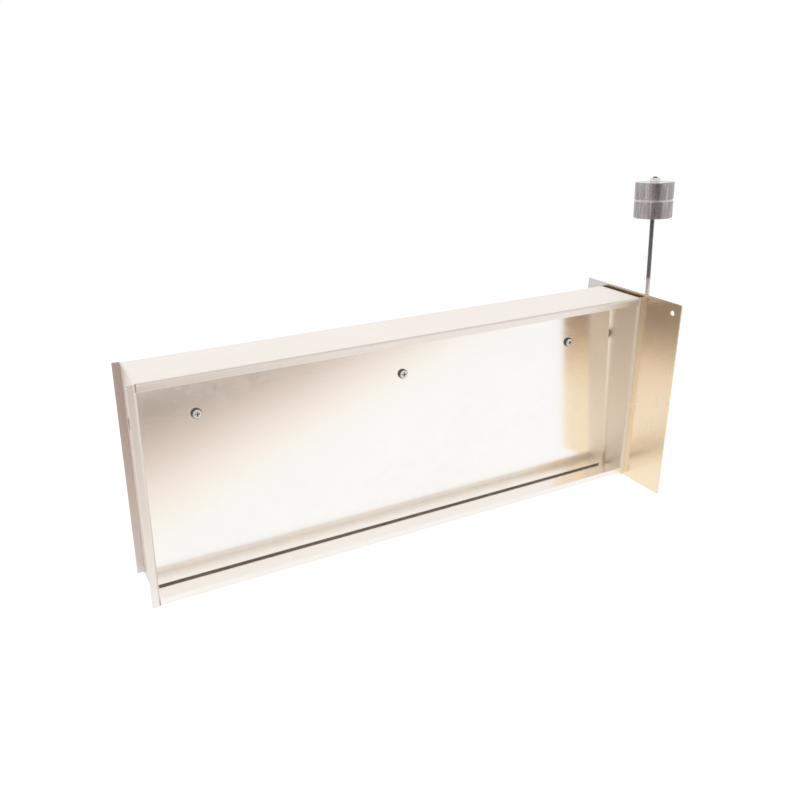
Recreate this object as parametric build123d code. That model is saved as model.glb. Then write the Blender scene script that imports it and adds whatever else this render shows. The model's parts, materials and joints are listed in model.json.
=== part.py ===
"""Static pressure relief damper: a slip-in frame of folded channels with one weighted blade.

Frame of reference, millimetres: the origin is the centre of the mounting plate's hole pattern, on
the plate's bearing face. +X points out of the duct through the plate, +Y along the air path and +Z
up. The frame lies on the -X side of the plate, and the weighted arm stands on the +X side.
"""
from build123d import *
from math import cos, hypot, radians, sin
import os

# Frame: four folded channels
FRAME_LENGTH = 504.8        # free end of the left stile to the plate's bearing face
FRAME_HEIGHT = 193.7
FRAME_DEPTH = 57.0
FRAME_SHEET = 1.5
LIP_HEIGHT = 7.0            # rails and left stile
PLATE_LIP_HEIGHT = 6.0      # right stile, against the plate
BEND_RADIUS = 0.8           # inside of every fold

# Corner joints: a folded cleat in each corner, welded to the rail and riveted to the stile
CLEAT_SHEET = 1.5
CLEAT_WIDTH = 10.0
CLEAT_LEG = 10.0
HEAD_CLEAT_SETBACK = 8.0    # from the top rail's front lip, inside
SILL_CLEAT_SETBACK = 2.0    # from the bottom rail's back lip, inside
RIVET_D = 4.0
RIVET_HEAD_D = 6.8
RIVET_HEAD_H = 1.2
RIVET_TAIL_D = 5.4
RIVET_TAIL_H = 0.9

# Mounting plate
PLATE_HEIGHT = 200.0
PLATE_WIDTH = 127.0
PLATE_SHEET = 1.5
PLATE_FRONT_OVERHANG = 47.0
PLATE_CORNER_RADIUS = 1.5
HOLE_D = 5.0
HOLE_EDGE = 10.0            # hole centre to the plate's edges
WELD_TAB_HEIGHT = 20.0
WELD_TAB_SPACING = 150.0
WELD_TAB_END_GAP = 1.0      # tab's tip to the stile's web

# Shaft, bushings and rings
SHAFT_D = 7.94
SHAFT_HEIGHT = 147.2        # axis above the frame's lower face
SHAFT_SETBACK = 39.3        # axis behind the frame's front face
SHAFT_END_GAP = 0.2         # left end inside the left bushing
SHAFT_OVERRUN = 1.5         # right end past the hub
SHAFT_CHAMFER = 0.6
RUNNING_CLEARANCE = 0.05    # radial, where one piece turns or slides on another
SEAT_CLEARANCE = 0.03       # radial, where one piece is pressed or screwed into another
BUSHING_WALL = 1.6
BUSHING_FLANGE_D = 14.0
BUSHING_FLANGE = 1.0
RING_D = 13.0
RING_THICKNESS = 1.0
RING_GROOVE_D = 6.2
RING_GAP = 4.0              # mouth of the ring
RING_PLAY = 0.3             # ring to the bushing beside it

# Blade
BLADE_SHEET = 1.5
BLADE_SIDE_GAP = 3.0        # to each stile's web
BLADE_BOTTOM_GAP = 1.8      # to the bottom rail's web
BLADE_TOP_GAP = 5.0         # to the top rail's web
BLADE_CORNER_RADIUS = 2.0
REST_TILT = 3.3             # degrees from upright, top back, against the stop
SCREW_SPACING = 192.0
SCREW_INSET = 48.0          # first screw from the blade's left edge
SCREW_D = 4.0
SCREW_LENGTH = 8.0
SCREW_HEAD_D = 9.0
SCREW_HEAD_H = 2.9
SCREW_HEAD_EDGE = 0.9
SCREW_RECESS_WIDTH = 1.1
SCREW_RECESS_SPAN = 4.2
SCREW_RECESS_DEPTH = 1.7

# Stop on the bottom rail, behind the blade
STOP_SHEET = 1.2
STOP_HEIGHT = 11.0
STOP_FOOT = 10.0
STOP_END_GAP = 5.0          # to each stile's web
GASKET_THICKNESS = 3.0
GASKET_HEIGHT = 9.0
STOP_CLEARANCE = 0.3        # gasket to the closed blade

# Arm and weights, measured along the arm from the shaft's axis
ROD_REACH = 47.3            # rod's axis from the plate's bearing face
ROD_D = 4.83
THREAD_D = 4.7
THREAD_START = 52.0
ROD_PROUD = 1.2             # rod's end above the top nut
HUB_D = 22.0
HUB_LENGTH = 16.0
HUB_FLAT = 9.5              # axis to the flat that the nut sits on
HUB_CHAMFER = 0.8
ROD_END_GAP = 0.8           # rod's lower end to the shaft
SET_SCREW_D = 5.0
SET_SCREW_SUNK = 0.6        # below the hub's round face
SET_SCREW_GAP = 0.3         # tip to the shaft
SET_SCREW_SOCKET_AF = 2.5
SET_SCREW_SOCKET_DEPTH = 2.5
NUT_AF = 8.7
HUB_NUT_H = 3.0
TOP_NUT_H = 4.0
NUT_CHAMFER = 0.5
WEIGHT_D = 38.1
WEIGHT_HEIGHT = 18.0
WEIGHT_START = 115.0
WEIGHT_CHAMFER = 0.8

# Places worked out from the sizes above
LEFT_END = -FRAME_LENGTH
LEFT_WEB = LEFT_END + LIP_HEIGHT            # airway face of each stile's web
RIGHT_WEB = -PLATE_LIP_HEIGHT
FRAME_FRONT = -PLATE_WIDTH / 2 + PLATE_FRONT_OVERHANG
FRAME_BACK = FRAME_FRONT + FRAME_DEPTH
FRAME_MIDDLE = (FRAME_FRONT + FRAME_BACK) / 2
FRAME_TOP = FRAME_HEIGHT / 2
FRAME_BOTTOM = -FRAME_HEIGHT / 2
RAIL_LENGTH = RIGHT_WEB - LEFT_WEB
FOLD_RADIUS = BEND_RADIUS + FRAME_SHEET     # outside of a fold in the frame's sheet
SHAFT_R = SHAFT_D / 2
SHAFT_Y = FRAME_FRONT + SHAFT_SETBACK
SHAFT_Z = FRAME_BOTTOM + SHAFT_HEIGHT
BUSHING_R = SHAFT_R + RUNNING_CLEARANCE + BUSHING_WALL
TILT = radians(REST_TILT)
BLADE_FACE = SHAFT_R + BLADE_SHEET          # shaft's axis to the blade's front face
BLADE_WIDTH = RAIL_LENGTH - 2 * BLADE_SIDE_GAP
BLADE_LEFT = LEFT_WEB + BLADE_SIDE_GAP
BLADE_RISE = BLADE_FACE * sin(TILT)
BLADE_BELOW = (SHAFT_HEIGHT + BLADE_RISE - FRAME_SHEET - BLADE_BOTTOM_GAP) / cos(TILT)
BLADE_ABOVE = (FRAME_HEIGHT - FRAME_SHEET - BLADE_TOP_GAP - SHAFT_HEIGHT - BLADE_RISE) / cos(TILT)
SILL = FRAME_BOTTOM + FRAME_SHEET           # upper face of the bottom rail's web
GASKET_NEAR = SHAFT_R - STOP_CLEARANCE      # these are in front of the shaft's axis, square to the blade
GASKET_FAR = GASKET_NEAR - GASKET_THICKNESS
STOP_BACK = GASKET_FAR - STOP_SHEET
SHAFT_START = LEFT_WEB - FRAME_SHEET + SHAFT_END_GAP
RING_X = (-RING_PLAY - RING_THICKNESS, PLATE_SHEET + BUSHING_FLANGE + RING_PLAY)
WEIGHT_TOP = WEIGHT_START + 2 * WEIGHT_HEIGHT
ROD_BOTTOM = SHAFT_R + ROD_END_GAP
ROD_TOP = WEIGHT_TOP + TOP_NUT_H + ROD_PROUD
CLEAT_Y = {"top": FRAME_FRONT + FRAME_SHEET + HEAD_CLEAT_SETBACK + CLEAT_WIDTH / 2,
           "bottom": FRAME_BACK - FRAME_SHEET - SILL_CLEAT_SETBACK - CLEAT_WIDTH / 2}
RIVET_DROP = FRAME_SHEET + (CLEAT_SHEET + BEND_RADIUS + CLEAT_LEG) / 2
RIVET_Z = {"top": FRAME_TOP - RIVET_DROP, "bottom": FRAME_BOTTOM + RIVET_DROP}

# The blade, its shaft and its arm are drawn upright about the shaft's axis, then tilted to rest
AT_REST = Pos(0, SHAFT_Y, SHAFT_Z) * Rot(-REST_TILT, 0, 0)
FROM_START = (Align.CENTER, Align.CENTER, Align.MIN)


def block(low, high):
    """Box between two corners."""
    size = [b - a for a, b in zip(low, high)]
    return Pos(*low) * Box(*size, align=(Align.MIN, Align.MIN, Align.MIN))


def bar_x(start, end, radius, y=0.0, z=0.0):
    """Round bar along X."""
    return Pos(start, y, z) * Rot(0, 90, 0) * Cylinder(radius, end - start, align=FROM_START)


def bar_z(start, end, radius):
    """Round bar along Z."""
    return Pos(0, 0, start) * Cylinder(radius, end - start, align=FROM_START)


def bar_y(start, end, radius, x=0.0):
    """Round bar along Y."""
    return Pos(x, start, 0) * Rot(-90, 0, 0) * Cylinder(radius, end - start, align=FROM_START)


def rounded(points, radii):
    """Closed outline through points, with a radius at some corners, given as {corner number: radius}."""
    face = make_face(Polyline(*points, close=True))
    for number, radius in radii.items():
        corner = Vector(*points[number])
        vertex = face.vertices().sort_by_distance(corner)[0]
        face = fillet(vertex, radius)
    return face


def channel_section(lip):
    """Folded channel: web along the first axis, lips of the height given rising along the second axis."""
    half = FRAME_DEPTH / 2
    inside = half - FRAME_SHEET
    points = [(-half, lip), (-half, 0), (half, 0), (half, lip),
              (inside, lip), (inside, FRAME_SHEET), (-inside, FRAME_SHEET), (-inside, lip)]
    return rounded(points, {1: FOLD_RADIUS, 2: FOLD_RADIUS, 5: BEND_RADIUS, 6: BEND_RADIUS})


def rail(side):
    """Top or bottom rail: a channel between the stiles, web outside, lips towards the airway."""
    up = 1 if side == "top" else -1
    corner = (RIGHT_WEB if side == "top" else LEFT_WEB, FRAME_MIDDLE, up * FRAME_HEIGHT / 2)
    plane = Plane(origin=corner, x_dir=(0, 1, 0), z_dir=(-up, 0, 0))
    return extrude(plane * channel_section(LIP_HEIGHT), RAIL_LENGTH)


def rivet_hole(web, side):
    """Cutter for a corner rivet's hole through the stile's web and the cleat on it."""
    radius = RIVET_D / 2 + SEAT_CLEARANCE
    return bar_x(web - CLEAT_LEG, web + CLEAT_LEG, radius, CLEAT_Y[side], RIVET_Z[side])


def corner_cleat(web, inwards, side):
    """Folded angle in a corner: one leg on the rail's web, the other riveted to the stile's web."""
    up = 1 if side == "top" else -1
    points = [(0, 0), (CLEAT_LEG, 0), (CLEAT_LEG, CLEAT_SHEET),
              (CLEAT_SHEET, CLEAT_SHEET), (CLEAT_SHEET, CLEAT_LEG), (0, CLEAT_LEG)]
    section = rounded(points, {0: BEND_RADIUS + CLEAT_SHEET, 3: BEND_RADIUS})
    corner = (web, CLEAT_Y[side], up * (FRAME_HEIGHT / 2 - FRAME_SHEET))
    plane = Plane(origin=corner, x_dir=(inwards, 0, 0), z_dir=(0, inwards * up, 0))
    body = extrude(plane * section, CLEAT_WIDTH / 2, both=True)
    return body - rivet_hole(web, side)


def stile(end):
    """Left or right stile: a channel with its web to the airway and its lips pointing outwards."""
    web = LEFT_WEB if end == "left" else RIGHT_WEB
    lip = LIP_HEIGHT if end == "left" else PLATE_LIP_HEIGHT
    up = 1 if end == "left" else -1
    plane = Plane(origin=(web, FRAME_MIDDLE, -up * FRAME_HEIGHT / 2), x_dir=(0, 1, 0), z_dir=(0, 0, up))
    body = extrude(plane * channel_section(lip), FRAME_HEIGHT)
    body -= bar_x(web - lip, web + lip, BUSHING_R + SEAT_CLEARANCE, SHAFT_Y, SHAFT_Z)
    for side in ("top", "bottom"):
        body -= rivet_hole(web, side)
    return body


def corner_rivet(web, inwards, side):
    """Domed rivet with its head on the cleat and its tail inside the stile's channel."""
    shank = CLEAT_SHEET + FRAME_SHEET
    head_sphere = (RIVET_HEAD_D ** 2 / 4 + RIVET_HEAD_H ** 2) / (2 * RIVET_HEAD_H)
    head = Pos(0, 0, RIVET_HEAD_H - head_sphere) * Sphere(head_sphere)
    head &= bar_z(0, RIVET_HEAD_H, RIVET_HEAD_D / 2)
    tail = bar_z(-shank - RIVET_TAIL_H, -shank, RIVET_TAIL_D / 2)
    tail = fillet(tail.faces().sort_by(Axis.Z)[0].edges(), RIVET_TAIL_H / 3)
    body = head + bar_z(-shank, 0, RIVET_D / 2) + tail
    place = Pos(web + inwards * CLEAT_SHEET, CLEAT_Y[side], RIVET_Z[side])
    return place * Rot(0, inwards * 90, 0) * body


def mounting_plate():
    """Flat plate with two fixing holes in opposite corners, and four lanced tabs inside the stile's lips."""
    front = -PLATE_WIDTH / 2
    body = block((0, front, -PLATE_HEIGHT / 2), (PLATE_SHEET, -front, PLATE_HEIGHT / 2))
    body = fillet(body.edges().filter_by(Axis.X), PLATE_CORNER_RADIUS)
    reach = PLATE_LIP_HEIGHT - FRAME_SHEET - WELD_TAB_END_GAP
    for lip, inwards in ((FRAME_FRONT + FRAME_SHEET, 1), (FRAME_BACK - FRAME_SHEET, -1)):
        for middle in (-WELD_TAB_SPACING / 2, WELD_TAB_SPACING / 2):
            low, high = middle - WELD_TAB_HEIGHT / 2, middle + WELD_TAB_HEIGHT / 2
            tab_end = lip + inwards * PLATE_SHEET
            window_end = tab_end + inwards * reach
            window = sorted((tab_end, window_end))
            tab = sorted((lip, tab_end))
            body -= block((0, window[0], low), (PLATE_SHEET, window[1], high))
            body += block((-reach, tab[0], low), (PLATE_SHEET, tab[1], high))
    for side in (-1, 1):
        y = side * (PLATE_WIDTH / 2 - HOLE_EDGE)
        z = -side * (PLATE_HEIGHT / 2 - HOLE_EDGE)
        body -= bar_x(0, PLATE_SHEET, HOLE_D / 2, y, z)
    return body - bar_x(0, PLATE_SHEET, BUSHING_R + SEAT_CLEARANCE, SHAFT_Y, SHAFT_Z)


def bushing(face, sheet):
    """Flanged bushing: the flange bears on a sheet's +X face, and the sleeve fills the sheet's hole."""
    body = bar_x(face - sheet, face, BUSHING_R) + bar_x(face, face + BUSHING_FLANGE, BUSHING_FLANGE_D / 2)
    body -= bar_x(face - sheet, face + BUSHING_FLANGE, SHAFT_R + RUNNING_CLEARANCE)
    return Pos(0, SHAFT_Y, SHAFT_Z) * body


def shaft():
    """Round shaft with two ring grooves and a cross hole for each blade screw."""
    end = ROD_REACH + HUB_LENGTH / 2 + SHAFT_OVERRUN
    body = bar_x(SHAFT_START, end, SHAFT_R)
    body = chamfer(body.edges().filter_by(GeomType.CIRCLE), SHAFT_CHAMFER)
    for x in RING_X:
        side = x + RING_THICKNESS
        body -= bar_x(x, side, SHAFT_R) - bar_x(x, side, RING_GROOVE_D / 2)
    for x in screw_places():
        body -= bar_y(-SHAFT_R, SHAFT_R, SCREW_D / 2 + SEAT_CLEARANCE, x)
    return AT_REST * body


def retaining_ring(x):
    """Open ring that snaps into a groove of the shaft."""
    body = bar_x(x, x + RING_THICKNESS, RING_D / 2)
    body -= bar_x(x, x + RING_THICKNESS, RING_GROOVE_D / 2 + SEAT_CLEARANCE)
    mouth = block((x, -RING_GAP / 2, 0), (x + RING_THICKNESS, RING_GAP / 2, RING_D))
    return AT_REST * (body - mouth)


def screw_places():
    """Places of the blade screws along X."""
    return [BLADE_LEFT + SCREW_INSET + i * SCREW_SPACING for i in range(3)]


def blade():
    """Flat blade in front of the shaft."""
    body = block((BLADE_LEFT, -BLADE_FACE, -BLADE_BELOW), (BLADE_LEFT + BLADE_WIDTH, -SHAFT_R, BLADE_ABOVE))
    body = fillet(body.edges().filter_by(Axis.Y), BLADE_CORNER_RADIUS)
    for x in screw_places():
        body -= bar_y(-BLADE_FACE, -SHAFT_R, SCREW_D / 2 + SEAT_CLEARANCE, x)
    return AT_REST * body


def blade_screw(x):
    """Pan-head screw with a cross recess, through the blade into the shaft."""
    head = bar_y(-BLADE_FACE - SCREW_HEAD_H, -BLADE_FACE, SCREW_HEAD_D / 2)
    head = fillet(head.faces().sort_by(Axis.Y)[0].edges(), SCREW_HEAD_H - SCREW_HEAD_EDGE)
    top = -BLADE_FACE - SCREW_HEAD_H
    span, width = SCREW_RECESS_SPAN / 2, SCREW_RECESS_WIDTH / 2
    head -= block((-span, top, -width), (span, top + SCREW_RECESS_DEPTH, width))
    head -= block((-width, top, -span), (width, top + SCREW_RECESS_DEPTH, span))
    shank = bar_y(-BLADE_FACE, -BLADE_FACE + SCREW_LENGTH, SCREW_D / 2)
    return AT_REST * Pos(x, 0, 0) * (head + shank)


def beside_blade(distance, z):
    """Point in the YZ plane at height z, that far in front of the shaft's axis, square to the blade."""
    along = (z - SHAFT_Z - distance * sin(TILT)) / cos(TILT)
    return SHAFT_Y - distance * cos(TILT) + along * sin(TILT), z


def strip(points):
    """Prism along X between the stiles, from an outline in the YZ plane."""
    start = Plane(origin=(LEFT_WEB + STOP_END_GAP, 0, 0), x_dir=(0, 1, 0), z_dir=(1, 0, 0))
    return extrude(start * make_face(Polyline(*points, close=True)), RAIL_LENGTH - 2 * STOP_END_GAP)


def stop_angle():
    """Folded strip on the bottom rail: foot on the web, leg parallel to the closed blade."""
    top = SILL + STOP_HEIGHT
    heel = SILL + STOP_SHEET
    toe = beside_blade(STOP_BACK, heel)[0] + STOP_FOOT
    return strip([beside_blade(GASKET_FAR, SILL), beside_blade(GASKET_FAR, top), beside_blade(STOP_BACK, top),
                  beside_blade(STOP_BACK, heel), (toe, heel), (toe, SILL)])


def stop_gasket():
    """Soft strip on the stop's leg, facing the blade."""
    top = SILL + GASKET_HEIGHT
    return strip([beside_blade(GASKET_NEAR, SILL), beside_blade(GASKET_NEAR, top),
                  beside_blade(GASKET_FAR, top), beside_blade(GASKET_FAR, SILL)])


def on_arm(body):
    """Puts a piece drawn along the arm's own axis in its place at rest."""
    return AT_REST * Pos(ROD_REACH, 0, 0) * body


def arm_hub():
    """Round hub on the shaft's end, with a flat for the rod's nut and a tapped hole for the set screw."""
    body = bar_x(-HUB_LENGTH / 2, HUB_LENGTH / 2, HUB_D / 2)
    body = chamfer(body.edges().filter_by(GeomType.CIRCLE), HUB_CHAMFER)
    body -= block((-HUB_LENGTH / 2, -HUB_D / 2, HUB_FLAT), (HUB_LENGTH / 2, HUB_D / 2, HUB_D / 2))
    body -= bar_x(-HUB_LENGTH / 2, HUB_LENGTH / 2, SHAFT_R + RUNNING_CLEARANCE)
    body -= bar_z(0, HUB_FLAT, ROD_D / 2 + SEAT_CLEARANCE)
    body -= bar_y(-HUB_D / 2, 0, SET_SCREW_D / 2 + SEAT_CLEARANCE)
    return on_arm(body)


def hub_set_screw():
    """Socket set screw in the front of the hub."""
    outer = HUB_D / 2 - SET_SCREW_SUNK
    body = bar_y(-outer, -SHAFT_R - SET_SCREW_GAP, SET_SCREW_D / 2)
    socket = Plane(origin=(0, -outer, 0), x_dir=(1, 0, 0), z_dir=(0, 1, 0))
    hexagon = RegularPolygon(SET_SCREW_SOCKET_AF / 2, 6, major_radius=False)
    return on_arm(body - extrude(socket * hexagon, SET_SCREW_SOCKET_DEPTH))


def hex_nut(start, height, bore):
    """Hexagon nut on the arm rod, with its corners chamfered."""
    across_corners = NUT_AF / cos(radians(30))
    body = extrude(Pos(0, 0, start) * RegularPolygon(NUT_AF / 2, 6, major_radius=False), height)
    cone = bar_z(start, start + height, across_corners / 2)
    body &= chamfer(cone.edges().filter_by(GeomType.CIRCLE), NUT_CHAMFER)
    return on_arm(body - bar_z(start, start + height, bore))


def arm_rod():
    """Round rod screwed into the hub, plain below and threaded above."""
    body = bar_z(ROD_BOTTOM, THREAD_START, ROD_D / 2)
    thread = bar_z(THREAD_START, ROD_TOP, THREAD_D / 2)
    thread = chamfer(thread.faces().sort_by(Axis.Z)[-1].edges(), ROD_PROUD / 2)
    return on_arm(body + thread)


def weight(start):
    """Round weight screwed on the rod, with chamfered rims."""
    body = bar_z(start, start + WEIGHT_HEIGHT, WEIGHT_D / 2)
    body = chamfer(body.edges().filter_by(GeomType.CIRCLE), WEIGHT_CHAMFER)
    return on_arm(body - bar_z(start, start + WEIGHT_HEIGHT, THREAD_D / 2 + RUNNING_CLEARANCE))


def check_blade_clears():
    """Prints how far the blade's long edges pass the front lip below and the back lip above as it opens."""
    bottom_edge = hypot(BLADE_FACE, BLADE_BELOW)
    lip_below = hypot(SHAFT_SETBACK - FRAME_SHEET, SHAFT_HEIGHT - LIP_HEIGHT)
    top_edge = hypot(BLADE_FACE, BLADE_ABOVE)
    lip_above = hypot(FRAME_DEPTH - FRAME_SHEET - SHAFT_SETBACK, FRAME_HEIGHT - LIP_HEIGHT - SHAFT_HEIGHT)
    print(f"blade to front lip {lip_below - bottom_edge:.2f}, to back lip {lip_above - top_edge:.2f}")


def solids_of(*pieces):
    """One compound of separate solids."""
    return Compound(children=[solid for piece in pieces for solid in piece.solids()])


def build():
    """Every node by name."""
    ends = ((LEFT_WEB, 1), (RIGHT_WEB, -1))
    corners = [(web, inwards, side) for web, inwards in ends for side in ("top", "bottom")]
    thread_bore = THREAD_D / 2 + RUNNING_CLEARANCE
    return {
        "left_stile": stile("left"),
        "right_stile": stile("right"),
        "top_rail": rail("top"),
        "bottom_rail": rail("bottom"),
        "corner_cleats": solids_of(*[corner_cleat(*corner) for corner in corners]),
        "corner_rivets": solids_of(*[corner_rivet(*corner) for corner in corners]),
        "mounting_plate": mounting_plate(),
        "stop_angle": stop_angle(),
        "stop_gasket": stop_gasket(),
        "left_bushing": bushing(LEFT_WEB, FRAME_SHEET),
        "right_bushing": bushing(RIGHT_WEB + FRAME_SHEET, FRAME_SHEET),
        "plate_bushing": bushing(PLATE_SHEET, PLATE_SHEET),
        "shaft": shaft(),
        "retaining_rings": solids_of(*[retaining_ring(x) for x in RING_X]),
        "blade": blade(),
        "blade_screws": solids_of(*[blade_screw(x) for x in screw_places()]),
        "arm_hub": arm_hub(),
        "hub_set_screw": hub_set_screw(),
        "hub_nut": hex_nut(HUB_FLAT, HUB_NUT_H, ROD_D / 2 + SEAT_CLEARANCE),
        "arm_rod": arm_rod(),
        "lower_weight": weight(WEIGHT_START),
        "upper_weight": weight(WEIGHT_START + WEIGHT_HEIGHT),
        "top_nut": hex_nut(WEIGHT_TOP, TOP_NUT_H, thread_bore),
    }


os.makedirs("parts", exist_ok=True)
check_blade_clears()
for name, piece in build().items():
    export_step(piece, f"parts/{name}.step")
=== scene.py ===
"""Dresses the static pressure relief damper: sheet-metal finishes, the threaded arm rod, turned weights,
a pale table and soft studio light, seen from the front left and above."""
import json

import bpy
import numpy as np
from mathutils import Matrix, Vector


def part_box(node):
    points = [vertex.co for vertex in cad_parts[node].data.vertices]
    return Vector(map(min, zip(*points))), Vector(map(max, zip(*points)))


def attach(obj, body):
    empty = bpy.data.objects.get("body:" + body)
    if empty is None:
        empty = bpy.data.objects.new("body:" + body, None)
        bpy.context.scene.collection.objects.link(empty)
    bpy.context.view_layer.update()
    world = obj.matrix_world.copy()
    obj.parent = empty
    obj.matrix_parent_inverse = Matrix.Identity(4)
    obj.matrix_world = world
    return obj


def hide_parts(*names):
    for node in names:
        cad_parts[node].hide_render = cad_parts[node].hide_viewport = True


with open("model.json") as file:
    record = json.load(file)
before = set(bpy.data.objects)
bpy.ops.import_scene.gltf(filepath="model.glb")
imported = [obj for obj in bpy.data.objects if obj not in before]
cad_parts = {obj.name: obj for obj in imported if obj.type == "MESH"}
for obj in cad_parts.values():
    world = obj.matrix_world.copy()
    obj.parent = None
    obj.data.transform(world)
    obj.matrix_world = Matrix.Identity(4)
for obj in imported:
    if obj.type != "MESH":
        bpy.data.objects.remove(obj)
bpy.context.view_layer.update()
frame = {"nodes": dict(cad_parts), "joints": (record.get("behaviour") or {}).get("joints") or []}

bl_info = {
    "name": "Relief damper dresser",
    "version": (1, 0, 0),
    "blender": (4, 5, 0),
    "location": "View3D > Sidebar > Damper",
    "description": "Finishes, small turned pieces and a studio for a static pressure relief damper",
    "category": "Object",
}

JOINTS = {joint["name"]: joint for joint in frame["joints"]}
ARM_CENTRE = np.array(JOINTS["arm_setting"]["pos_m"])
ARM_AXIS = np.array(JOINTS["weight_setting"]["axis"])
ARM_TILT = float(np.arctan2(ARM_AXIS[1], ARM_AXIS[2]))

# Sheet: stretch of its grain, where its painted back tint and its upper darkening begin and end, in metres
ROLLED_ALONG = (0.04, 1.0, 1.0)
ROLLED_UPRIGHT = (1.0, 1.0, 0.04)
BLADE_GRAIN = (0.25, 1.0, 1.0)
PLATE_GRAIN = (1.0, 1.0, 0.2)
BACK_SPAN = (-0.02, 0.05)
LIP_SPAN = (0.0001, 0.0012)
UPPER_DARKENING_SPAN = (0.02, 0.085)
CLOUD_SCALE = 9.0
GRAIN_SCALE = 900.0

# Small steel pieces: how fine the patterns on them are, as repeats in a metre
BLOTCH_SCALE = 160.0
SCREW_BLOTCH_SCALE = 400.0
ROD_BLOTCH_SCALE = 300.0
WEIGHT_BLOTCH_SCALE = 70.0
RING_SCALE = 2600.0
STREAK_SCALE = 420.0
STREAK_STRETCH = (1.0, 1.0, 0.1)
PIT_SCALE = 1300.0

# Table: its edges, and how metal shows its front, by the distance ahead of the part, in metres
TABLE_ACROSS = (-1.4, 2.2)
TABLE_DEEP = (-1.25, 3.2)
AHEAD = (-0.6, -0.8)
FALLOFF = {"Red": (0.385, 0.68), "Green": (0.33, 0.68), "Blue": (0.295, 0.68)}
FAR_AHEAD = (0.74, 0.88)
FAR_ACROSS = (-0.55, -0.35)

# Room: where its dim front lies, how near to it and how high up the dim parts begin and end
ROOM_FRONT = (-0.46, -0.83, -0.3)
ROOM_FRONT_SPAN = (0.74, 0.94)
CEILING_SPAN = (0.62, 0.86)
LAMP_PLACE = (-0.35, -0.1, 1.35)
LAMP_SIZE = 1.6
SENSOR_WIDTH = 36.0


def length(label, value, note):
    """A length that can be set, in metres."""
    return bpy.props.FloatProperty(name=label, description=note, default=value, unit="LENGTH")


def number(label, value, note):
    """A plain number that can be set."""
    return bpy.props.FloatProperty(name=label, description=note, default=value)


def colour(label, value, note):
    """A colour that can be set."""
    return bpy.props.FloatVectorProperty(name=label, description=note, default=value, subtype="COLOR", size=3)


def direction(label, value, note):
    """A place or a direction that can be set."""
    return bpy.props.FloatVectorProperty(name=label, description=note, default=value, subtype="XYZ", size=3)


class DamperSizes(bpy.types.PropertyGroup):
    """Sizes of the small forms that are added to the solids."""
    rod_diameter: length("Rod diameter", 0.00483, "Across the plain part of the arm rod")
    thread_diameter: length("Thread diameter", 0.0047, "Across the crests of the arm rod's thread")
    thread_pitch: length("Thread pitch", 0.00079, "From one crest of the thread to the next")
    thread_depth: length("Thread depth", 0.00042, "From crest to root of the thread")
    thread_start: length("Thread start", 0.052, "From the shaft's axis to the first turn")
    rod_bottom: length("Rod bottom", 0.00477, "From the shaft's axis to the rod's lower end")
    rod_top: length("Rod top", 0.1562, "From the shaft's axis to the rod's upper end")
    rod_end_chamfer: length("Rod end chamfer", 0.0006, "Chamfer on the rod's upper end")
    weight_start: length("Weight start", 0.115, "From the shaft's axis to the lower weight")
    weight_height: length("Weight height", 0.018, "Height of one weight")
    spangle: length("Spangle", 0.009, "Size of one zinc crystal on the sheet")


class DamperFinishes(bpy.types.PropertyGroup):
    """Colours of the finishes."""
    frame_colour: colour("Frame", (0.99, 0.945, 0.905), "Satin sheet of the rails and the left stile")
    # Folds: painted shade, a dark line painted along the outside of each fold
    fold_shade_colour: colour("Folds", (0.5, 0.41, 0.34), "Rubbed, dull outside of the folds")
    # Right lip and right stile: one sheet with two painted reflections, paler on the front lip, warmer behind
    # it
    lip_reflection_colour: colour("Right lip", (0.99, 0.93, 0.85), "Paler sheet on the right stile's front lip")
    # Left channel: painted shade, darker at the back of the left stile, in its channel
    channel_shade_colour: colour("Left channel", (0.8, 0.71, 0.67), "Duller sheet at the back of the left stile")
    stile_reflection_colour: colour("Right stile", (0.95, 0.82, 0.67), "Warmer satin sheet of the right stile")
    blade_colour: colour("Blade", (0.99, 0.98, 0.96), "Satin sheet of the blade")
    # Plate: the sheet's own colour with a painted warm reflection in front; the back tint has none
    plate_front_reflection_colour: colour("Plate", (0.99, 0.825, 0.61), "Satin sheet of the mounting plate, in front")
    plate_back_colour: colour("Plate back", (0.93, 0.92, 0.89), "Satin sheet of the plate, at the back")
    weight_colour: colour("Weights", (0.4, 0.365, 0.375), "Turned steel of the weights")
    # Rims: painted highlight on the weights' rims and upward-facing ends
    rim_highlight_colour: colour("Rims", (0.93, 0.9, 0.9), "Worn rims and ends of the weights")
    rod_colour: colour("Rod", (0.24, 0.235, 0.24), "Dark steel of the thread, rings and set screw")
    bright_colour: colour("Bright steel", (0.66, 0.645, 0.62), "Drawn steel of shaft, hub and plain rod")
    zinc_colour: colour("Zinc", (0.78, 0.76, 0.73), "Plated nuts and rivets")
    # Screws: a painted highlight on the forward fronts and painted shade on the sides
    screw_colour: colour("Screws", (0.97, 0.95, 0.93), "Bright fronts of the blade screws")
    bushing_colour: colour("Bushings", (0.68, 0.56, 0.44), "Sintered bronze of the bushings")
    gasket_colour: colour("Gasket", (0.4, 0.34, 0.28), "Foam strip on the stop")


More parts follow.
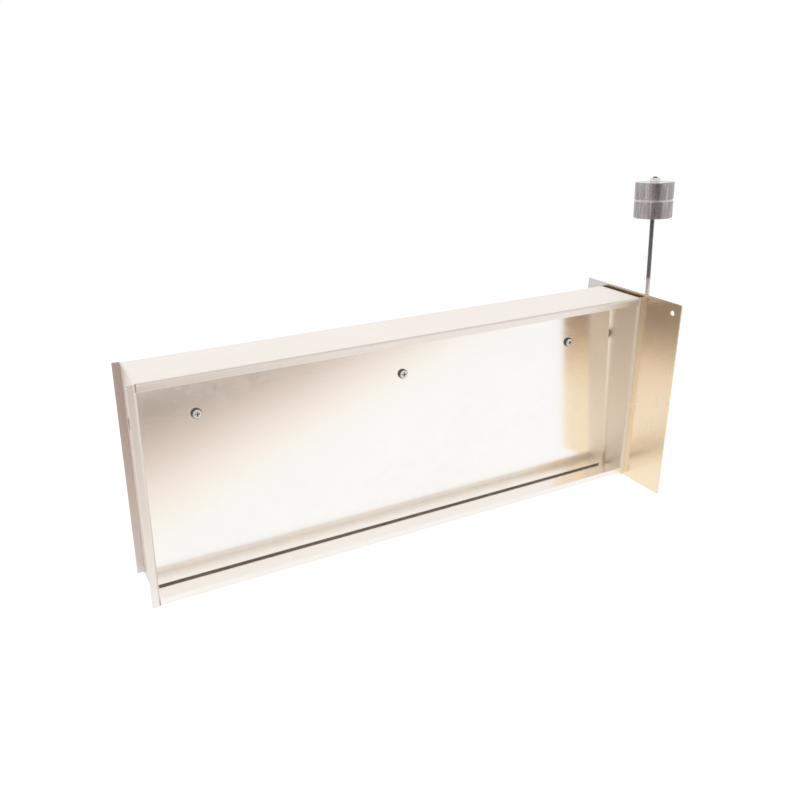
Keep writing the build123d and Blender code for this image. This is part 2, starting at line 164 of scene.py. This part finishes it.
class DamperStudio(bpy.types.PropertyGroup):
    """Camera, table and lights."""
    eye: direction("Eye", (-0.59578, -0.58168, 0.30889), "Where the camera stands")
    look: direction("Look", (0.42187, 0.83802, -0.34604), "Direction of the camera's view")
    up: direction("Up", (0.16494, 0.30436, 0.93817), "Direction that is up in the picture")
    lens: number("Lens", 36.303, "Focal length on a 36 mm sensor, in millimetres")
    shift_across: number("Shift across", 0.0451, "Sideways shift of the lens, as a share of the picture")
    shift_up: number("Shift up", -0.038, "Upward shift of the lens, as a share of the picture")
    table_colour: colour("Table", (0.86, 0.855, 0.85), "Pale table top")
    near_colour: colour("Near", (1.0, 0.995, 0.985), "White surroundings, as metal shows them")
    front_colour: colour("Front", (0.44, 0.36, 0.305), "Dim, warm front of the table, as metal shows it")
    facing_colour: colour("Facing", (0.22, 0.185, 0.18), "Dim room in front of the part, as metal shows it")
    ceiling_colour: colour("Ceiling", (0.95, 0.905, 0.87), "Dim ceiling, as metal shows it")
    table_lift: number("Table lift", 0.66, "How much the picture's white is lifted on the table")
    sky_colour: colour("Room light colour", (1.0, 0.985, 0.965), "Colour of the even light from all round")
    sky_level: number("Room light", 0.45, "Level of the even light from all round")
    lamp_power: number("Lamp", 6.0, "Power of the soft lamp overhead, in watts")


GROUPS = {"damper_sizes": DamperSizes, "damper_finishes": DamperFinishes, "damper_studio": DamperStudio}


def settings(group):
    """One of the scene's groups of values."""
    return getattr(bpy.context.scene, group)


def shader_tree(name):
    """New material with an empty tree, its output and a Principled shader that is wired to it."""
    material = bpy.data.materials.new(name)
    material.use_nodes = True
    tree = material.node_tree
    tree.nodes.clear()
    output = tree.nodes.new("ShaderNodeOutputMaterial")
    shader = tree.nodes.new("ShaderNodeBsdfPrincipled")
    tree.links.new(shader.outputs["BSDF"], output.inputs["Surface"])
    return material, tree, shader


def place_of_point(tree, stretch=(1.0, 1.0, 1.0), centre=(0.0, 0.0, 0.0), turn=(0.0, 0.0, 0.0)):
    """Object coordinates, moved to a centre, turned and stretched."""
    coordinates = tree.nodes.new("ShaderNodeTexCoord")
    mapping = tree.nodes.new("ShaderNodeMapping")
    mapping.vector_type = "TEXTURE"
    mapping.inputs["Location"].default_value = centre
    mapping.inputs["Rotation"].default_value = turn
    mapping.inputs["Scale"].default_value = [1.0 / s for s in stretch]
    tree.links.new(coordinates.outputs["Object"], mapping.inputs["Vector"])
    return mapping.outputs["Vector"]


def parts_of(tree, vector):
    """The three parts of a vector."""
    node = tree.nodes.new("ShaderNodeSeparateXYZ")
    tree.links.new(vector, node.inputs["Vector"])
    return node.outputs["X"], node.outputs["Y"], node.outputs["Z"]


def flat_length(tree, x, y):
    """Length of the flat vector (x, y)."""
    vector = tree.nodes.new("ShaderNodeCombineXYZ")
    tree.links.new(x, vector.inputs["X"])
    tree.links.new(y, vector.inputs["Y"])
    node = tree.nodes.new("ShaderNodeVectorMath")
    node.operation = "LENGTH"
    tree.links.new(vector.outputs["Vector"], node.inputs[0])
    return node.outputs["Value"]


def noise(tree, vector, scale, detail=3.0, roughness=0.55):
    """Noise value between 0 and 1."""
    node = tree.nodes.new("ShaderNodeTexNoise")
    node.inputs["Scale"].default_value = scale
    node.inputs["Detail"].default_value = detail
    node.inputs["Roughness"].default_value = roughness
    tree.links.new(vector, node.inputs["Vector"])
    return node.outputs["Fac"]


def crystals(tree, vector, scale):
    """One random value for each cell of a crystal pattern."""
    node = tree.nodes.new("ShaderNodeTexVoronoi")
    node.inputs["Scale"].default_value = scale
    split = tree.nodes.new("ShaderNodeSeparateColor")
    tree.links.new(vector, node.inputs["Vector"])
    tree.links.new(node.outputs["Color"], split.inputs["Color"])
    return split.outputs["Red"]


def spread(tree, value, low, high, start=0.0, end=1.0, smooth=False):
    """Maps a value from start to end onto low to high."""
    node = tree.nodes.new("ShaderNodeMapRange")
    node.interpolation_type = "SMOOTHSTEP" if smooth else "LINEAR"
    node.inputs["From Min"].default_value = start
    node.inputs["From Max"].default_value = end
    node.inputs["To Min"].default_value = low
    node.inputs["To Max"].default_value = high
    tree.links.new(value, node.inputs["Value"])
    return node.outputs["Result"]


def joined(tree, first, second, operation="MULTIPLY"):
    """Two values joined, by their product unless another operation is named."""
    node = tree.nodes.new("ShaderNodeMath")
    node.operation = operation
    for number_in, value in enumerate((first, second)):
        if isinstance(value, float):
            node.inputs[number_in].default_value = value
        else:
            tree.links.new(value, node.inputs[number_in])
    return node.outputs["Value"]


def tinted(tree, tint, value):
    """A colour whose brightness is scaled by a value."""
    node = tree.nodes.new("ShaderNodeVectorMath")
    node.operation = "SCALE"
    node.inputs[0].default_value = tint
    tree.links.new(value, node.inputs["Scale"])
    return node.outputs["Vector"]


def blended(tree, factor, first, second):
    """Goes from one colour to another, each a fixed colour or one that is worked out."""
    node = tree.nodes.new("ShaderNodeMix")
    node.data_type = "RGBA"
    tree.links.new(factor, node.inputs["Factor"])
    for name, tint in (("A", first), ("B", second)):
        if isinstance(tint, bpy.types.NodeSocket):
            tree.links.new(tint, node.inputs[name])
        else:
            node.inputs[name].default_value = (*tint, 1.0)
    return node.outputs["Result"]


def relief(tree, shader, height, depth, strength):
    """Fine relief of a surface."""
    node = tree.nodes.new("ShaderNodeBump")
    node.inputs["Distance"].default_value = depth
    node.inputs["Strength"].default_value = strength
    tree.links.new(height, node.inputs["Height"])
    tree.links.new(node.outputs["Normal"], shader.inputs["Normal"])


def on_fold(tree, depth):
    """0 on flat faces, up to depth on folds, where the surface faces between two of the part's directions:
    the mask of the painted shade on the folds.
    """
    coordinates = tree.nodes.new("ShaderNodeTexCoord")
    x, y, z = parts_of(tree, coordinates.outputs["Normal"])
    across = joined(tree, joined(tree, x, x), joined(tree, z, z), "ADD")
    turned = joined(tree, joined(tree, across, joined(tree, y, y)), 4.0)
    return spread(tree, turned, 0.0, depth)


def sheet_finish(name, tint, rolled, roughness, clouds, metal=1.0, fold=0.0, upper_darkening=0.0, painted_back_tint=None,
                 back_span=BACK_SPAN):
    """Satin zinc-coated sheet: cloudy gloss, faint crystals, fine grain along the rolled direction, painted
    shade on the folds, darker towards the upper edge, and a painted back tint: shade in the left stile's
    channel, reflection on the right stile and the plate."""
    material, tree, shader = shader_tree(name)
    even = place_of_point(tree)
    cloud = noise(tree, even, CLOUD_SCALE, detail=4.0)
    crystal = crystals(tree, even, 1.0 / settings("damper_sizes").spangle)
    grain = noise(tree, place_of_point(tree, stretch=rolled), GRAIN_SCALE, detail=2.0)
    shade = joined(tree, spread(tree, crystal, 0.985, 1.0), spread(tree, grain, 0.97, 1.02))
    shade = joined(tree, shade, spread(tree, cloud, 0.96, 1.03))
    height = joined(tree, parts_of(tree, even)[2], spread(tree, cloud, -0.012, 0.012), "ADD")
    # Darker towards the upper edge
    shade = joined(tree, shade, spread(tree, height, 1.0, 1.0 - upper_darkening, *UPPER_DARKENING_SPAN, smooth=True))
    towards_back = spread(tree, parts_of(tree, even)[1], 0.0, 1.0, *back_span, smooth=True)
    # Painted back tint: painted shade in the left stile's channel, painted reflections on the right stile and
    # the plate
    sheet = blended(tree, towards_back, tinted(tree, tint, shade), tinted(tree, painted_back_tint or tint, shade))
    # Painted shade on the folds
    sheet = blended(tree, on_fold(tree, fold), sheet, settings("damper_finishes").fold_shade_colour)
    tree.links.new(sheet, shader.inputs["Base Color"])
    gloss = joined(tree, spread(tree, cloud, roughness - clouds, roughness + clouds),
                   spread(tree, grain, -0.02, 0.02), "ADD")
    gloss = joined(tree, gloss, spread(tree, crystal, -0.015, 0.015), "ADD")
    tree.links.new(gloss, shader.inputs["Roughness"])
    shader.inputs["Metallic"].default_value = metal
    relief(tree, shader, grain, 0.00004, 0.25)
    return material


def screw_finish(name, tint):
    """Blade screws: painted highlight where a front faces forward, painted shade on the sides and in the
    recess.
    """
    material, tree, shader = shader_tree(name)
    coordinates = tree.nodes.new("ShaderNodeTexCoord")
    forward = parts_of(tree, coordinates.outputs["Normal"])[1]
    # Painted highlight where the head faces forward, painted shade elsewhere
    painted_highlight = spread(tree, forward, 1.0, 0.0, -0.92, -0.6, smooth=True)
    blotch = noise(tree, place_of_point(tree), SCREW_BLOTCH_SCALE)
    bright = tinted(tree, tint, spread(tree, blotch, 0.9, 1.05))
    oiled_and_shaded = tinted(tree, tint, spread(tree, blotch, 0.12, 0.22))
    tree.links.new(blended(tree, painted_highlight, oiled_and_shaded, bright), shader.inputs["Base Color"])
    tree.links.new(spread(tree, blotch, 0.4, 0.6), shader.inputs["Roughness"])
    shader.inputs["Metallic"].default_value = 0.7
    return material


def hardware_finish(name, tint, roughness, grain_scale, grain_depth=0.00004):
    """Plated or drawn steel: small blotches and fine tool marks."""
    material, tree, shader = shader_tree(name)
    even = place_of_point(tree)
    blotch = noise(tree, even, BLOTCH_SCALE)
    grain = noise(tree, even, grain_scale, detail=2.0)
    shade = joined(tree, spread(tree, blotch, 0.86, 1.08), spread(tree, grain, 0.93, 1.05))
    tree.links.new(tinted(tree, tint, shade), shader.inputs["Base Color"])
    tree.links.new(spread(tree, blotch, roughness - 0.08, roughness + 0.08), shader.inputs["Roughness"])
    shader.inputs["Metallic"].default_value = 1.0
    relief(tree, shader, grain, grain_depth, 0.4)
    return material


def foam_finish(name, tint, roughness, grain_scale, grain_depth):
    """Foam strip: dull, with a fine pitted surface."""
    material, tree, shader = shader_tree(name)
    even = place_of_point(tree)
    grain = noise(tree, even, grain_scale)
    tree.links.new(tinted(tree, tint, spread(tree, grain, 0.8, 1.15)), shader.inputs["Base Color"])
    tree.links.new(spread(tree, grain, roughness - 0.06, roughness + 0.06), shader.inputs["Roughness"])
    relief(tree, shader, grain, grain_depth, 0.5)
    return material


def about_arm(tree, stretch=(1.0, 1.0, 1.0)):
    """Place of a point about the arm's own axis, measured from the shaft's axis."""
    return place_of_point(tree, stretch=stretch, centre=tuple(ARM_CENTRE), turn=(-ARM_TILT, 0.0, 0.0))


def rod_finish(name):
    """Arm rod: drawn steel below, a dark oiled thread above, with small blotches."""
    size, finishes = settings("damper_sizes"), settings("damper_finishes")
    material, tree, shader = shader_tree(name)
    along = parts_of(tree, about_arm(tree))[2]
    blotch = noise(tree, place_of_point(tree), ROD_BLOTCH_SCALE)
    threaded = spread(tree, along, 0.0, 1.0, size.thread_start - 0.002, size.thread_start + 0.001)
    plain = tinted(tree, finishes.bright_colour, spread(tree, blotch, 0.9, 1.1))
    oiled_and_shaded = tinted(tree, finishes.rod_colour, spread(tree, blotch, 0.75, 1.25))
    tree.links.new(blended(tree, threaded, plain, oiled_and_shaded), shader.inputs["Base Color"])
    tree.links.new(spread(tree, blotch, 0.24, 0.4), shader.inputs["Roughness"])
    shader.inputs["Metallic"].default_value = 1.0
    return material


def turned_finish(name, tint):
    """Turned weights: rings on the ends, upright streaks and pits on the side, painted highlight on the rims
    and upper ends.
    """
    size = settings("damper_sizes")
    highlight_tint = settings("damper_finishes").rim_highlight_colour
    material, tree, shader = shader_tree(name)
    x, y, along = parts_of(tree, about_arm(tree))
    rings_place = tree.nodes.new("ShaderNodeCombineXYZ")
    tree.links.new(flat_length(tree, x, y), rings_place.inputs["X"])
    rings = noise(tree, rings_place.outputs["Vector"], RING_SCALE, detail=2.0)
    streaks = noise(tree, about_arm(tree, STREAK_STRETCH), STREAK_SCALE)
    pits = noise(tree, place_of_point(tree), PIT_SCALE, detail=2.0)
    blotch = noise(tree, place_of_point(tree), WEIGHT_BLOTCH_SCALE)
    above_seam = joined(tree, along, size.weight_start + size.weight_height, "SUBTRACT")
    to_rim = joined(tree, above_seam, size.weight_height, "PINGPONG")
    coordinates = tree.nodes.new("ShaderNodeTexCoord")
    upwards = parts_of(tree, coordinates.outputs["Normal"])[2]
    end_face = spread(tree, upwards, 0.0, 0.7, 0.8, 0.97)
    # Painted highlight on the rims by the seams and on the upward-facing ends
    painted_highlight = joined(tree, spread(tree, to_rim, 0.75, 0.0, 0.0003, 0.0014), end_face, "MAXIMUM")
    shade = joined(tree, spread(tree, streaks, 0.65, 1.35, 0.3, 0.7), spread(tree, pits, 0.6, 1.4, 0.3, 0.7))
    shade = joined(tree, shade, spread(tree, rings, 0.94, 1.05))
    body = tinted(tree, tint, shade)
    tree.links.new(blended(tree, painted_highlight, body, highlight_tint), shader.inputs["Base Color"])
    tree.links.new(spread(tree, blotch, 0.24, 0.36), shader.inputs["Roughness"])
    shader.inputs["Metallic"].default_value = 1.0
    relief(tree, shader, joined(tree, pits, streaks, "ADD"), 0.00012, 0.4)
    return material


def dress(material, *nodes):
    """Gives solids of the frame a material."""
    for name in nodes:
        for slot in frame["nodes"][name].material_slots:
            slot.material = material


def lathe(name, along, radius, segments, matrix):
    """Surface of revolution: point (k, j) = (r cos a, r sin a, s), with s = along[k], a = 2 pi j / segments
    and r = radius[k, j], carried into place by a matrix; the ends close on the axis."""
    angle = 2 * np.pi * np.arange(segments) / segments
    points = np.empty((len(along), segments, 3))
    points[..., 0] = radius * np.cos(angle)
    points[..., 1] = radius * np.sin(angle)
    points[..., 2] = along[:, None]
    points = points.reshape(-1, 3)
    rows = np.arange(len(along) - 1)[:, None] * segments
    here = np.arange(segments)
    after = (here + 1) % segments
    quads = np.stack([rows + here, rows + after, rows + segments + after, rows + segments + here], axis=-1)
    faces = quads.reshape(-1, 4).tolist()
    low, high = len(points), len(points) + 1
    points = np.vstack([points, [[0, 0, along[0]], [0, 0, along[-1]]]])
    top = (len(along) - 1) * segments
    faces += np.stack([after, here, np.full(segments, low)], axis=-1).tolist()
    faces += np.stack([top + here, top + after, np.full(segments, high)], axis=-1).tolist()
    points = points @ np.array(matrix.to_3x3()).T + np.array(matrix.translation)
    mesh = bpy.data.meshes.new(name)
    mesh.from_pydata(points.tolist(), [], faces)
    mesh.shade_smooth()
    piece = bpy.data.objects.new(name, mesh)
    bpy.context.scene.collection.objects.link(piece)
    return piece


def arm_matrix():
    """Place of the arm's own axis: the shaft's axis at 0, the rod along the third direction."""
    return Matrix.Translation(Vector(ARM_CENTRE)) @ Matrix.Rotation(-ARM_TILT, 4, "X")


class DAMPER_OT_sheet_frame(bpy.types.Operator):
    """Dresses the folded channels, the cleats and the stop in satin zinc-coated sheet"""
    bl_idname = "damper.sheet_frame"
    bl_label = "Frame channels"

    def execute(self, context):
        finishes = settings("damper_finishes")
        tint = finishes.frame_colour
        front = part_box("right_stile")[0].y
        # fold sets how deep the painted shade on the folds is
        head = sheet_finish("head_sheet_along", tint, ROLLED_ALONG, roughness=0.5, clouds=0.04,
                            metal=0.95, fold=0.5)
        along = sheet_finish("frame_sheet_along", tint, ROLLED_ALONG, roughness=0.22, clouds=0.04, fold=0.15)
        # Left stile: painted shade at the back, in its channel
        upright = sheet_finish("frame_sheet_upright", tint, ROLLED_UPRIGHT, roughness=0.45, clouds=0.04,
                               metal=0.95, fold=0.2, painted_back_tint=finishes.channel_shade_colour)
        # Right stile: painted reflection, paler on the front lip and warmer on the panel behind it
        stile_painted_reflection = sheet_finish("stile_sheet_upright", finishes.lip_reflection_colour, ROLLED_UPRIGHT,
                                    roughness=0.48, clouds=0.04, metal=0.95, fold=0.3,
                                    painted_back_tint=finishes.stile_reflection_colour,
                                    back_span=[front + inwards for inwards in LIP_SPAN])
        dress(head, "top_rail")
        dress(along, "bottom_rail", "stop_angle", "corner_cleats")
        dress(upright, "left_stile")
        dress(stile_painted_reflection, "right_stile")
        return {"FINISHED"}


class DAMPER_OT_mounting_plate(bpy.types.Operator):
    """Dresses the mounting plate in cloudy sheet with a painted warm reflection in front, darker towards the
    upper edge
    """
    bl_idname = "damper.mounting_plate"
    bl_label = "Mounting plate"

    def execute(self, context):
        finishes = settings("damper_finishes")
        # Painted warm reflection in front; darker towards the upper edge
        sheet = sheet_finish("plate_sheet", finishes.plate_front_reflection_colour, PLATE_GRAIN, roughness=0.25, clouds=0.06,
                             upper_darkening=0.3, painted_back_tint=finishes.plate_back_colour)
        dress(sheet, "mounting_plate")
        return {"FINISHED"}


class DAMPER_OT_blade(bpy.types.Operator):
    """Dresses the blade in satin sheet"""
    bl_idname = "damper.blade"
    bl_label = "Blade"

    def execute(self, context):
        tint = settings("damper_finishes").blade_colour
        dress(sheet_finish("blade_sheet", tint, BLADE_GRAIN, roughness=0.15, clouds=0.03), "blade")
        return {"FINISHED"}


class DAMPER_OT_hardware(bpy.types.Operator):
    """Dresses screws, rivets, nuts, rings, shaft, hub, bushings and gasket"""
    bl_idname = "damper.hardware"
    bl_label = "Hardware"

    def execute(self, context):
        finishes = settings("damper_finishes")
        dress(hardware_finish("zinc_plated", finishes.zinc_colour, roughness=0.26, grain_scale=2200.0),
              "hub_nut", "top_nut", "corner_rivets")
        dress(screw_finish("screw_painted_light", finishes.screw_colour), "blade_screws")
        dress(hardware_finish("drawn_steel", finishes.bright_colour, roughness=0.32, grain_scale=1800.0),
              "shaft", "arm_hub")
        dress(hardware_finish("dark_steel", finishes.rod_colour, roughness=0.36, grain_scale=1800.0),
              "retaining_rings", "hub_set_screw")
        dress(hardware_finish("sintered_bronze", finishes.bushing_colour, roughness=0.5, grain_scale=1600.0,
                              grain_depth=0.00006),
              "left_bushing", "right_bushing", "plate_bushing")
        dress(foam_finish("gasket_foam", finishes.gasket_colour, roughness=0.85, grain_scale=1100.0,
                          grain_depth=0.0003), "stop_gasket")
        return {"FINISHED"}


class DAMPER_OT_arm_rod(bpy.types.Operator):
    """Makes the arm rod with its thread"""
    bl_idname = "damper.arm_rod"
    bl_label = "Arm rod"

    def execute(self, context):
        size = settings("damper_sizes")
        segments = 32
        rows_a_turn = 8
        shank = np.array([size.rod_bottom, size.thread_start - 2 * size.thread_pitch])
        turns = (size.rod_top - size.thread_start) / size.thread_pitch
        thread = np.linspace(size.thread_start - size.thread_pitch, size.rod_top, int(turns * rows_a_turn))
        along = np.concatenate([shank, thread])
        angle = np.arange(segments) / segments
        phase = along[:, None] / size.thread_pitch - angle
        groove = 1 - np.abs(2 * (phase % 1.0) - 1)
        run_in = np.clip((along - size.thread_start) / (2 * size.thread_pitch), 0, 1)[:, None]
        radius = size.rod_diameter / 2 + run_in * (size.thread_diameter - size.rod_diameter) / 2
        radius = radius - size.thread_depth * groove * run_in
        tip = np.clip((size.rod_top - along) / size.rod_end_chamfer, 0, 1)[:, None]
        radius = np.minimum(radius, size.thread_diameter / 2 - size.rod_end_chamfer * (1 - tip))
        rod = lathe("threaded_arm_rod", along, radius, segments, arm_matrix())
        rod.data.materials.append(rod_finish("rod_steel"))
        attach(rod, "arm")
        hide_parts("arm_rod")
        return {"FINISHED"}


class DAMPER_OT_weights(bpy.types.Operator):
    """Dresses the two weights in turned steel"""
    bl_idname = "damper.weights"
    bl_label = "Weights"

    def execute(self, context):
        tint = settings("damper_finishes").weight_colour
        dress(turned_finish("turned_weight", tint), "lower_weight", "upper_weight")
        return {"FINISHED"}


class DAMPER_OT_stage(bpy.types.Operator):
    """Sets the pale table, the soft light and the camera"""
    bl_idname = "damper.stage"
    bl_label = "Studio"

    def execute(self, context):
        make_table()
        make_room()
        make_lamp("overhead", LAMP_PLACE, LAMP_SIZE, settings("damper_studio").lamp_power)
        make_camera()
        context.scene.view_settings.view_transform = "Standard"
        return {"FINISHED"}


def table_height(x):
    """Height of the table at a place along X: it touches the left stile's foot and the plate's lower edge."""
    left_low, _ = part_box("left_stile")
    plate_low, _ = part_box("mounting_plate")
    share = (x - left_low.x) / (0.0 - left_low.x)
    return left_low.z + share * (plate_low.z - left_low.z)


def mirror_ray(tree, light_path):
    """1 for what is seen in metal or through glass."""
    glossy = light_path.outputs["Is Glossy Ray"]
    return joined(tree, glossy, light_path.outputs["Is Transmission Ray"], "MAXIMUM")


def chosen(tree, factor, first, second):
    """One shader or another."""
    node = tree.nodes.new("ShaderNodeMixShader")
    tree.links.new(factor, node.inputs["Fac"])
    tree.links.new(first, node.inputs[1])
    tree.links.new(second, node.inputs[2])
    return node.outputs["Shader"]


def make_table():
    """Flat, pale rectangle under the part that keeps its shadow; in metal its front falls off to the room."""
    studio = settings("damper_studio")
    left, right = TABLE_ACROSS
    near, far = TABLE_DEEP
    x = np.array([left, right, right, left])
    y = np.array([near, near, far, far])
    points = np.stack([x, y, table_height(x)], axis=-1)
    mesh = bpy.data.meshes.new("table")
    mesh.from_pydata(points.tolist(), [], [(0, 1, 2, 3)])
    table = bpy.data.objects.new("table", mesh)
    bpy.context.scene.collection.objects.link(table)
    material = bpy.data.materials.new("table_top")
    material.use_nodes = True
    tree = material.node_tree
    tree.nodes.clear()
    output = tree.nodes.new("ShaderNodeOutputMaterial")
    light_path = tree.nodes.new("ShaderNodeLightPath")
    matt = tree.nodes.new("ShaderNodeBsdfDiffuse")
    matt.inputs["Color"].default_value = (*studio.table_colour, 1.0)
    lift = tree.nodes.new("ShaderNodeEmission")
    camera_ray = light_path.outputs["Is Camera Ray"]
    tree.links.new(spread(tree, camera_ray, 0.0, studio.table_lift), lift.inputs["Strength"])
    seen = tree.nodes.new("ShaderNodeAddShader")
    tree.links.new(matt.outputs["BSDF"], seen.inputs[0])
    tree.links.new(lift.outputs["Emission"], seen.inputs[1])
    mirrored = tree.nodes.new("ShaderNodeEmission")
    tree.links.new(table_in_metal(tree, studio), mirrored.inputs["Color"])
    surface = chosen(tree, mirror_ray(tree, light_path), seen.outputs["Shader"], mirrored.outputs["Emission"])
    tree.links.new(surface, output.inputs["Surface"])
    table.data.materials.append(material)


def table_in_metal(tree, studio):
    """Colour of the table as metal shows it: white round the part, then warm and dim in front of it on the
    left, and white again far out."""
    x, y, _ = parts_of(tree, place_of_point(tree))
    ahead = joined(tree, joined(tree, x, AHEAD[0]), joined(tree, y, AHEAD[1]), "ADD")
    falloff = tree.nodes.new("ShaderNodeCombineColor")
    for (channel, band), near, front in zip(FALLOFF.items(), studio.near_colour, studio.front_colour):
        tree.links.new(spread(tree, ahead, near, front, *band, smooth=True), falloff.inputs[channel])
    far = joined(tree, spread(tree, ahead, 0.0, 1.0, *FAR_AHEAD, smooth=True),
                 spread(tree, x, 0.0, 1.0, *FAR_ACROSS, smooth=True))
    return blended(tree, far, falloff.outputs["Color"], studio.near_colour)


def make_room():
    """World: white to the eye, even light on the part, and in metal white with a dim ceiling and front."""
    studio = settings("damper_studio")
    world = bpy.data.worlds.new("studio_room")
    bpy.context.scene.world = world
    world.use_nodes = True
    tree = world.node_tree
    tree.nodes.clear()
    output = tree.nodes.new("ShaderNodeOutputWorld")
    light_path = tree.nodes.new("ShaderNodeLightPath")
    coordinates = tree.nodes.new("ShaderNodeTexCoord")
    outwards = coordinates.outputs["Generated"]
    height = parts_of(tree, outwards)[2]
    towards_front = tree.nodes.new("ShaderNodeVectorMath")
    towards_front.operation = "DOT_PRODUCT"
    towards_front.inputs[1].default_value = ROOM_FRONT
    tree.links.new(outwards, towards_front.inputs[0])
    ceiling = spread(tree, height, 0.0, 1.0, *CEILING_SPAN, smooth=True)
    front = spread(tree, towards_front.outputs["Value"], 0.0, 1.0, *ROOM_FRONT_SPAN, smooth=True)
    room = blended(tree, ceiling, studio.near_colour, studio.ceiling_colour)
    room = blended(tree, front, room, studio.facing_colour)
    even = tree.nodes.new("ShaderNodeBackground")
    even.inputs["Color"].default_value = (*studio.sky_colour, 1.0)
    even.inputs["Strength"].default_value = studio.sky_level
    mirrored = tree.nodes.new("ShaderNodeBackground")
    tree.links.new(room, mirrored.inputs["Color"])
    white = tree.nodes.new("ShaderNodeBackground")
    white.inputs["Color"].default_value = (1.0, 1.0, 1.0, 1.0)
    in_metal = mirror_ray(tree, light_path)
    lit = chosen(tree, in_metal, even.outputs["Background"], mirrored.outputs["Background"])
    surface = chosen(tree, light_path.outputs["Is Camera Ray"], lit, white.outputs["Background"])
    tree.links.new(surface, output.inputs["Surface"])


def make_lamp(name, place, size, power):
    """Soft square lamp that points straight down and is not seen in the metal."""
    data = bpy.data.lights.new(name, "AREA")
    data.size = size
    data.energy = power
    lamp = bpy.data.objects.new(name, data)
    lamp.location = place
    lamp.visible_glossy = False
    lamp.visible_camera = False
    bpy.context.scene.collection.objects.link(lamp)


def make_camera():
    """Camera at the eye, looking along the view direction, with a small shift of the lens."""
    studio = settings("damper_studio")
    back = -Vector(studio.look).normalized()
    right = Vector(studio.up).cross(back).normalized()
    up = back.cross(right)
    data = bpy.data.cameras.new("eye")
    data.sensor_width = SENSOR_WIDTH
    data.lens = studio.lens
    data.shift_x = studio.shift_across
    data.shift_y = studio.shift_up
    data.clip_start = 0.01
    camera = bpy.data.objects.new("eye", data)
    turn = Matrix((right, up, back)).transposed().to_4x4()
    camera.matrix_world = Matrix.Translation(Vector(studio.eye)) @ turn
    bpy.context.scene.collection.objects.link(camera)
    bpy.context.scene.camera = camera


STEPS = (DAMPER_OT_sheet_frame, DAMPER_OT_mounting_plate, DAMPER_OT_blade, DAMPER_OT_hardware,
         DAMPER_OT_arm_rod, DAMPER_OT_weights, DAMPER_OT_stage)


class DAMPER_PT_panel(bpy.types.Panel):
    """Lists the steps that dress the damper"""
    bl_idname = "DAMPER_PT_panel"
    bl_label = "Relief damper"
    bl_space_type = "VIEW_3D"
    bl_region_type = "UI"
    bl_category = "Damper"

    def draw(self, context):
        for step in STEPS:
            self.layout.operator(step.bl_idname)


CLASSES = (*GROUPS.values(), *STEPS, DAMPER_PT_panel)


def register():
    """Registers the classes and puts the groups of values on the scene."""
    for cls in CLASSES:
        bpy.utils.register_class(cls)
    for name, group in GROUPS.items():
        setattr(bpy.types.Scene, name, bpy.props.PointerProperty(type=group))


def unregister():
    """Takes the groups of values and the classes away again."""
    for name in GROUPS:
        delattr(bpy.types.Scene, name)
    for cls in reversed(CLASSES):
        bpy.utils.unregister_class(cls)


def main():
    """Runs the steps in order."""
    register()
    bpy.ops.damper.sheet_frame()
    bpy.ops.damper.mounting_plate()
    bpy.ops.damper.blade()
    bpy.ops.damper.hardware()
    bpy.ops.damper.arm_rod()
    bpy.ops.damper.weights()
    bpy.ops.damper.stage()


if __name__ == "__main__":
    main()
